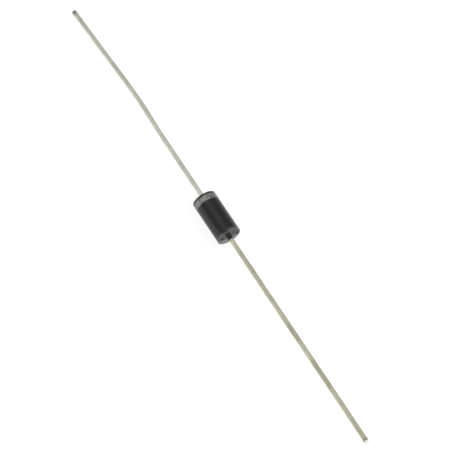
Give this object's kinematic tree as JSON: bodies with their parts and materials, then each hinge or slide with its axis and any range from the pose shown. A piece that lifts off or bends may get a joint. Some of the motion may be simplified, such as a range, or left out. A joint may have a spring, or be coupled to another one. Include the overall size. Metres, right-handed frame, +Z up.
{
  "type": "axial rectifier diode",
  "caption": "Axial rectifier diode: black moulded cylinder with a silver cathode band and a tinned wire lead at each end, the cathode lead slightly bent.",
  "frame": {"origin": "The bottom of the overall box, under the middle of the overall length, on the surface that the diode lies on", "axes": "+X runs along the moulded body towards the anode lead, -X towards the banded cathode end, +Z is up"},
  "size_m": [0.06, 0.0026, 0.0026],
  "materials": {
    "black_epoxy": "semi-gloss moulding compound",
    "silver_ink": "matte printed ink, a little mottled",
    "tinned_copper": "dull drawn tin with faint dark patches",
    "silicon": "smooth sawn chip",
    "solder": "satin",
    "silicone_rubber": "milky soft rubber"
  },
  "bodies": {
    "root": {"epoxy_body": "black_epoxy", "cathode_band": "silver_ink", "anode_lead": "tinned_copper", "cathode_lead": "tinned_copper", "silicon_die": "silicon", "anode_solder": "solder", "cathode_solder": "solder", "junction_coating": "silicone_rubber"}
  },
  "joints": []
}
